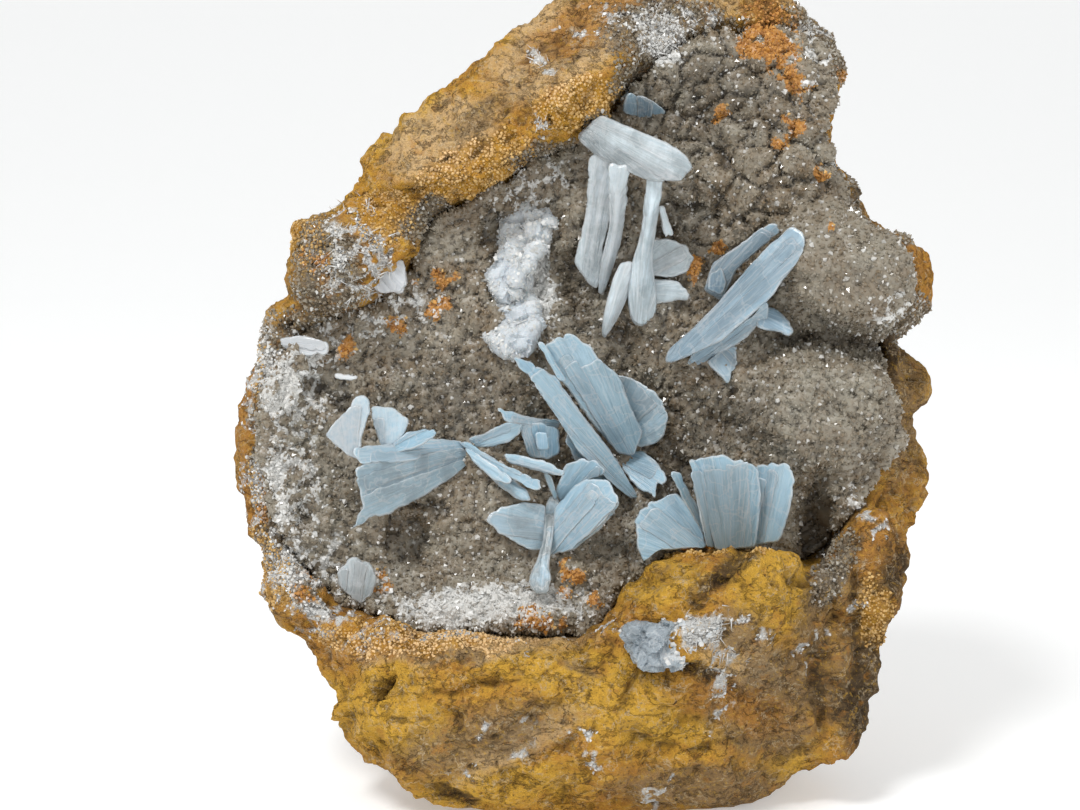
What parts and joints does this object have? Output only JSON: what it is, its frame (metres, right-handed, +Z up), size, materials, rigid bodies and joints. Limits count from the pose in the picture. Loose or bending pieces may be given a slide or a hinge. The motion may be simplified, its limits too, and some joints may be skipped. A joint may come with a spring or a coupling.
{
  "type": "barite on matrix mineral specimen",
  "caption": "Standing chunk of ochre limonite rock with an open druse-lined hollow that carries sprays of pale blue bladed barite; rests on a flat foot.",
  "frame": {"origin": "middle of the flat foot, on the surface that the specimen stands on", "axes": "+Z up, -Y out of the open face towards the viewer, +X to the viewer's right"},
  "size_m": [0.116, 0.0669, 0.1367],
  "materials": {
    "limonite": "earthy ochre and brown iron oxide, matt and pitted, with paler veins",
    "druse": "grey brown crust of tiny sparkling quartz points",
    "blue_barite": "pale blue translucent tabular crystal with fine striations and a glassy lustre",
    "white_barite": "chalky white to pale blue crystal, half matt"
  },
  "bodies": {
    "root": {"limonite_matrix": "limonite", "quartz_druse": "druse", "barite_mushroom_spray": "blue_barite", "barite_upper_right_blades": "blue_barite", "barite_centre_fan": "blue_barite", "barite_left_spray": "blue_barite", "barite_lower_spray": "blue_barite", "barite_right_book": "blue_barite", "small_top_plate": "blue_barite", "white_blade_cluster": "white_barite", "pale_left_plate": "white_barite", "far_left_blade": "white_barite", "lower_left_plate": "white_barite", "lip_seam": "white_barite"}
  },
  "joints": []
}
